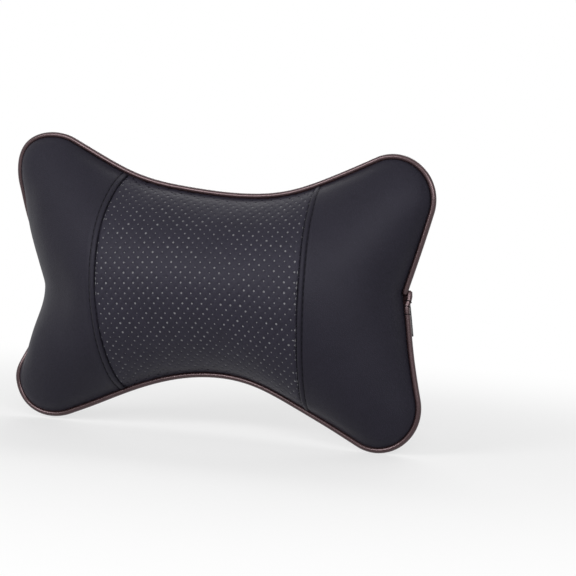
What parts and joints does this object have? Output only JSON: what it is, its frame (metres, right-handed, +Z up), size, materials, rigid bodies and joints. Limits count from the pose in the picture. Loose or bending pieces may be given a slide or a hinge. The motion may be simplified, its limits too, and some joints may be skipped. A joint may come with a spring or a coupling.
{
  "type": "car neck pillow",
  "caption": "Bone-shaped stuffed neck pillow with a perforated centre panel, piped rim and an elastic headrest strap.",
  "frame": {"origin": "middle of the strap's flat inner face, which bears on the back of the headrest", "axes": "+Z up, -Y out of the pillow's front, +X to the right seen from the front"},
  "size_m": [0.2798, 0.0973, 0.188],
  "materials": {
    "leatherette": "satin black leatherette with a fine grain",
    "perforated_leatherette": "satin black leatherette with staggered round perforations",
    "piping_leatherette": "glossy black",
    "scrim": "matt light grey",
    "cotton_cord": "matt",
    "elastic_webbing": "matt dark woven elastic",
    "polyester_fibre": "matt white"
  },
  "bodies": {
    "root": {"front_left_panel": "leatherette", "front_right_panel": "leatherette", "front_centre_panel": "perforated_leatherette", "centre_panel_backing": "scrim", "back_panel": "leatherette", "piping_cover": "piping_leatherette", "piping_cord": "cotton_cord", "headrest_strap": "elastic_webbing", "fibre_fill": "polyester_fibre"}
  },
  "joints": []
}
